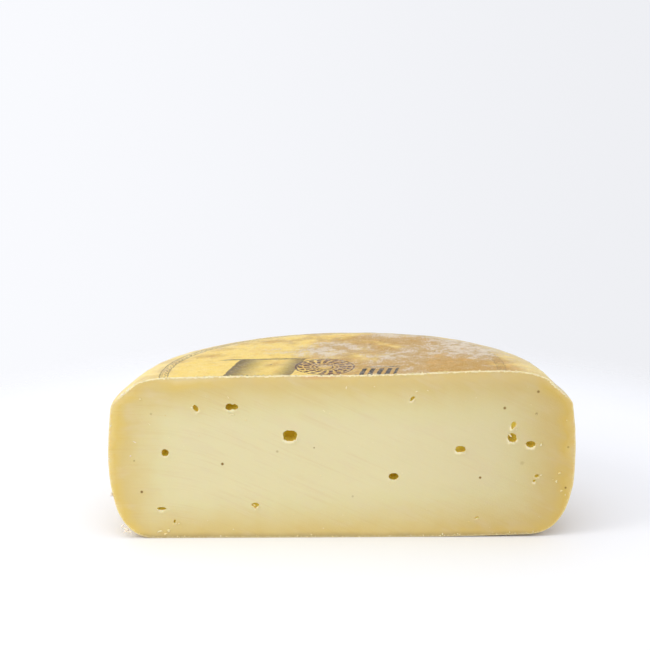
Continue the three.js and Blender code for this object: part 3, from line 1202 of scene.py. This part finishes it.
# The lights, in metres from the middle of the cheese.
KEY_LIGHT = dict(place=(-0.75, -0.4, 0.7), aim=(0, 0, 0.03), size=0.5, colour="#FFFCF6")
TOP_LIGHT = dict(place=(-0.1, -0.5, 1.2), aim=(0, 0, 0.0), size=0.9, colour="#FFFFFF")

# The sweep fades into the backdrop between these distances from the middle.
FLOOR_FADE = (0.25, 0.40)
# The backdrop goes from its left colour to its right one between these directions.
SIDE_FADE = (-0.3, 0.3)


def make_camera():
    """The camera, in front of the cut and looking a little down on it."""
    data = bpy.data.cameras.new("camera")
    data.lens = LENS
    data.sensor_width = SENSOR
    camera = bpy.data.objects.new("camera", data)
    bpy.context.scene.collection.objects.link(camera)
    camera.location = ORIGIN + Vector((CAMERA_ACROSS, -CAMERA_AWAY, CAMERA_HEIGHT))
    tilt = Matrix.Rotation(math.radians(90 - CAMERA_PITCH), 4, "X")
    roll = Matrix.Rotation(math.radians(CAMERA_ROLL), 4, "Z")
    camera.matrix_world = Matrix.Translation(camera.location) @ tilt @ roll
    bpy.context.scene.camera = camera


def area_light(name, power, place, aim, size, colour):
    """A round, soft light that the camera doesn't see."""
    data = bpy.data.lights.new(name, "AREA")
    data.shape = "DISK"
    data.size = size
    data.energy = power
    data.color = linear(colour)
    light = bpy.data.objects.new(name, data)
    bpy.context.scene.collection.objects.link(light)
    light.visible_camera = False
    light.location = place
    light.rotation_euler = (Vector(aim) - Vector(place)).to_track_quat("-Z", "Y").to_euler()


def make_floor(stage):
    """A matt white sweep. It is a disc that fades into the backdrop at its edge."""
    work = bmesh.new()
    bmesh.ops.create_circle(work, cap_ends=True, segments=96, radius=FLOOR_FADE[1])
    mesh = bpy.data.meshes.new("floor")
    work.to_mesh(mesh)
    work.free()
    floor = bpy.data.objects.new("floor", mesh)
    bpy.context.scene.collection.objects.link(floor)
    material, node = blank("matt_white_sweep")
    fade = node("ease", node("length", node("place")), *FLOOR_FADE, 1.0, 0.0)
    finish(material, node, Base_Color=stage.floor, Roughness=0.9, Specular_IOR_Level=0.1,
           Alpha=fade)
    mesh.materials.append(material)


def make_backdrop(stage):
    """A pale tent all round, a shade darker on the right. It gives most of the light."""
    world = bpy.data.worlds.new("backdrop")
    world.use_nodes = True
    node = partial(add_node, world.node_tree)
    x, _, _ = node("split", node("way"))
    colour = node("tint", node("ease", x, *SIDE_FADE), stage.backdrop_left, stage.backdrop_right)
    give(world.node_tree.nodes["Background"].inputs["Color"], colour)
    bpy.context.scene.world = world


# ---------------------------------------------------------------------------
# Settings, operators and panel
# ---------------------------------------------------------------------------


def amount(name, description, default, unit="LENGTH", **more):
    """A number setting, a length unless another unit is given."""
    return bpy.props.FloatProperty(
        name=name, description=description, default=default, min=0.0, unit=unit, precision=4,
        **more,
    )


def tone(name, description, code):
    """A colour setting, from its sRGB code."""
    return bpy.props.FloatVectorProperty(
        name=name, description=description, default=linear(code), min=0.0, max=1.0,
        size=3, subtype="COLOR",
    )


class CheeseShape(bpy.types.PropertyGroup):
    """The sizes of the half wheel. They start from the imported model."""

    width: amount(
        "Width", "The wheel's diameter, along the cut", NODE_HIGH.x - NODE_LOW.x,
    )
    height: amount(
        "Height", "From the base to the flat of the top",
        NODE_HIGH.z - NODE_LOW.z - RIM_ABOVE_TOP * MM,
    )
    ripple: amount("Ripple", "How far the rind's surface rises and falls", 0.3 * MM)


class CheeseLooks(bpy.types.PropertyGroup):
    """The colours of the cheese."""

    # Also painted on the lips below the eyes as a highlight.
    fresh: tone("Fresh paste", "Paste at a torn or smeared edge", "#F6EBC4")
    # Dried paste along the bottom edge, darkened further as painted shade where the cut meets the
    # floor.
    bottom_dried_and_shade: tone("Shelf side", "Paste along the bottom edge", "#A08E6A")
    # Painted shade over the right end of the cut.
    right_shade: tone("Aged", "A tint over the older end of the cut", "#EBE4DA")
    drag: tone("Drag", "The tint of the knife's drag marks", "#FBF6F2")
    smear: tone("Smear", "Where the knife smeared the paste", "#DCCBA6")
    speck: tone("Speck", "Dark specks in the paste", "#7A5600")
    crumb: tone("Crumb", "Dried crumbs", "#E6D08E")
    coating: tone("Coating", "Scraps of the rind's coating", "#F7EBDD")
    # Painted light and shade: the eye walls' glowing gold, darkest deep in the hollow.
    eye: tone("Eye", "The wall of an eye near its rim", "#E0C652")
    eye_deep_shade: tone("Eye, deep", "The wall of an eye at its deepest", "#C8A406")
    rind: tone("Rind", "The coated rind where it is palest", "#F1D168")
    rind_pale: tone("Rind, pale", "Where the coating is thinnest", "#F6E3A0")
    rind_ochre: tone("Rind, ochre", "The coated rind's darker gold", "#BA8E38")
    rind_olive: tone("Rind, olive", "Where the coating is thickest", "#AE8F36")
    rind_orange: tone("Rind, orange", "Where the rind shows through", "#DDA545")
    rust: tone("Rust", "Tiny dots on the rind", "#7A4A1C")
    bloom: tone("Bloom", "Dusty white mould", "#E2D6C4")
    bloom_grey: tone("Bloom, grey", "Older mould", "#C9BBA2")
    ink: tone("Ink", "The stamp's dark ink", "#1E160C")
    ink_ring: tone("Ink, ring", "The stamp's thin lines", "#6A5528")
    ink_faded: tone("Ink, faded", "The stamp's faded block", "#6C5A2C")
    ink_pink: tone("Ink, thin", "Red ink dragged over the cut", "#D47A58")
    ink_red: tone("Ink, red", "The stamp's red ink", "#4A0C04")


class CheeseStage(bpy.types.PropertyGroup):
    """The floor, backdrop and lights."""

    floor: tone("Floor", "The matt sweep under the cheese", "#F8F9FC")
    backdrop_left: tone("Backdrop, left", "The tent on the lit side", "#FAFBFF")
    backdrop_right: tone("Backdrop, right", "The tent on the other side", "#EEEFF3")
    key: amount("Key", "The large light at the upper left", 2.6, "POWER", subtype="POWER")
    top: amount("Top", "The soft light overhead", 1.7, "POWER", subtype="POWER")


class OBJECT_OT_half_wheel(bpy.types.Operator):
    """Build the half wheel: rind, top, base, cut face and eyes in one closed mesh"""

    bl_idname = "cheese.half_wheel"
    bl_label = "Half Wheel"

    def execute(self, context):
        shape, looks = context.scene.cheese_shape, context.scene.cheese_looks
        mesh = half_wheel_mesh(shape)
        for material in (knife_cut_paste(looks, shape), eye_wall_paste(looks),
                         coated_rind(looks)):
            mesh.materials.append(material)
        piece = bpy.data.objects.new(NODE + "_skin", mesh)
        context.scene.collection.objects.link(piece)
        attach(piece, BODY)
        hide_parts(NODE)
        return {"FINISHED"}


class OBJECT_OT_crumbs(bpy.types.Operator):
    """Scatter the crumbs and scraps that the knife left on the cut and along its edge"""

    bl_idname = "cheese.crumbs"
    bl_label = "Crumbs"

    def execute(self, context):
        shape, looks = context.scene.cheese_shape, context.scene.cheese_looks
        wheel = Wheel(shape)
        mesh = crumb_mesh(shape, cut_outline(wheel))
        mesh.materials.append(torn_paste(looks))
        piece = bpy.data.objects.new("knife_crumbs", mesh)
        context.scene.collection.objects.link(piece)
        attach(piece, BODY)
        return {"FINISHED"}


class OBJECT_OT_stage(bpy.types.Operator):
    """Set up the floor, the backdrop, the lights and the camera"""

    bl_idname = "cheese.stage"
    bl_label = "Stage"

    def execute(self, context):
        stage = context.scene.cheese_stage
        context.scene.view_settings.view_transform = "Standard"
        make_camera()
        make_floor(stage)
        make_backdrop(stage)
        area_light("key", stage.key, **KEY_LIGHT)
        area_light("top", stage.top, **TOP_LIGHT)
        return {"FINISHED"}


class VIEW3D_PT_cheese(bpy.types.Panel):
    """The cheese's pieces and settings"""

    bl_label = "Half Cheese Wheel"
    bl_space_type = "VIEW_3D"
    bl_region_type = "UI"
    bl_category = "Cheese"

    def draw(self, context):
        for operator in (OBJECT_OT_half_wheel, OBJECT_OT_crumbs, OBJECT_OT_stage):
            self.layout.operator(operator.bl_idname)
        for group in ("cheese_shape", "cheese_looks", "cheese_stage"):
            box = self.layout.box()
            settings = getattr(context.scene, group)
            for name in type(settings).__annotations__:
                box.prop(settings, name)


CLASSES = (
    CheeseShape,
    CheeseLooks,
    CheeseStage,
    OBJECT_OT_half_wheel,
    OBJECT_OT_crumbs,
    OBJECT_OT_stage,
    VIEW3D_PT_cheese,
)


def register():
    for kind in CLASSES:
        bpy.utils.register_class(kind)
    bpy.types.Scene.cheese_shape = bpy.props.PointerProperty(type=CheeseShape)
    bpy.types.Scene.cheese_looks = bpy.props.PointerProperty(type=CheeseLooks)
    bpy.types.Scene.cheese_stage = bpy.props.PointerProperty(type=CheeseStage)


def unregister():
    del bpy.types.Scene.cheese_stage
    del bpy.types.Scene.cheese_looks
    del bpy.types.Scene.cheese_shape
    for kind in reversed(CLASSES):
        bpy.utils.unregister_class(kind)


def main():
    register()
    bpy.ops.cheese.half_wheel()
    bpy.ops.cheese.crumbs()
    bpy.ops.cheese.stage()


if __name__ == "__main__":
    main()
